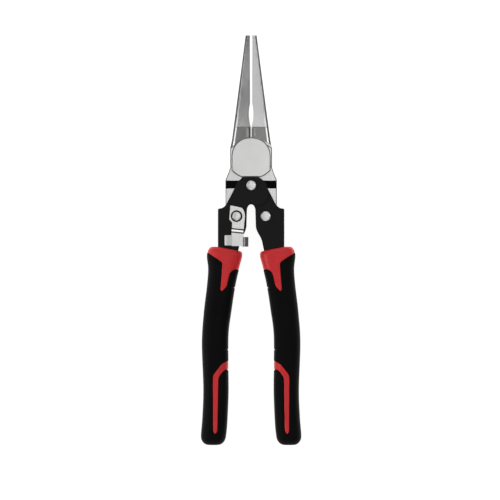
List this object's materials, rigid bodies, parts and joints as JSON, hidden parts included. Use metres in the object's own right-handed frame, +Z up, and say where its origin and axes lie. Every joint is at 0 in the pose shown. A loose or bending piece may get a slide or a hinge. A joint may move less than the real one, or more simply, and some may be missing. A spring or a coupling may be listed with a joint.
{
  "type": "needle nose pliers",
  "caption": "Long-nose compound-leverage pliers with lap-jointed jaws, stamped channel handles, a handle latch and two-tone moulded grips.",
  "frame": {"origin": "centre of the bounding box in plan, on the surface the pliers lie on", "axes": "+Y towards the jaw tips, +X towards the right-hand handle, +Z up out of the surface, towards the latch side"},
  "size_m": [0.0622, 0.254, 0.0167],
  "materials": {
    "jaw_steel": "satin ground and lightly polished steel",
    "rivet_steel": "bright nickel plated steel",
    "latch_steel": "bright zinc plated stamping",
    "spring_steel": "oiled spring steel",
    "black_band": "satin black, flush with the steel",
    "black_washer": "black oxide",
    "black_paint": "satin black powder coat",
    "red_grip": "fine satin moulded red plastic",
    "black_grip": "satin black soft overmould"
  },
  "bodies": {
    "left_handle": {"left_handle_frame": "black_paint", "left_grip_core": "red_grip", "left_grip_cover": "black_grip", "handle_pivot_rivet": "rivet_steel", "handle_pivot_bush": "spring_steel", "return_spring": "spring_steel", "left_link_rivet": "rivet_steel", "left_link_spacer_front": "spring_steel", "left_link_spacer_rear": "spring_steel", "latch_washer": "black_washer"},
    "right_handle": {"right_handle_frame": "black_paint", "right_grip_core": "red_grip", "right_grip_cover": "black_grip", "right_link_rivet": "rivet_steel"},
    "rear_jaw": {"rear_jaw": "jaw_steel", "left_tail_band": "black_band"},
    "front_jaw": {"front_jaw": "jaw_steel", "jaw_pivot_pin": "rivet_steel", "right_tail_band": "black_band"},
    "latch": {"latch": "latch_steel"}
  },
  "joints": [
    {"name": "handle_hinge", "type": "hinge", "parent": "left_handle", "child": "right_handle", "pos_m": [0, 0.0338, 0.008], "axis": [0, 0, 1], "range_deg": [-2, 24], "deforming": ["return_spring"]},
    {"name": "left_link", "type": "hinge", "parent": "left_handle", "child": "rear_jaw", "pos_m": [-0.009, 0.01475, 0.008], "axis": [0, 0, 1], "range_deg": [-0.5, 6]},
    {"name": "right_link", "type": "hinge", "parent": "right_handle", "child": "front_jaw", "pos_m": [0.009, 0.01475, 0.008], "axis": [0, 0, 1], "range_deg": [-6, 0.5]},
    {"name": "latch_pivot", "type": "hinge", "parent": "left_handle", "child": "latch", "pos_m": [-0.009, 0.01475, 0.008], "axis": [0, 0, 1], "range_deg": [-3, 22]}
  ],
  "couplings": [
    {"joint": "left_link", "follows": "handle_hinge", "ratio": 0.25},
    {"joint": "right_link", "follows": "handle_hinge", "ratio": -0.25}
  ]
}
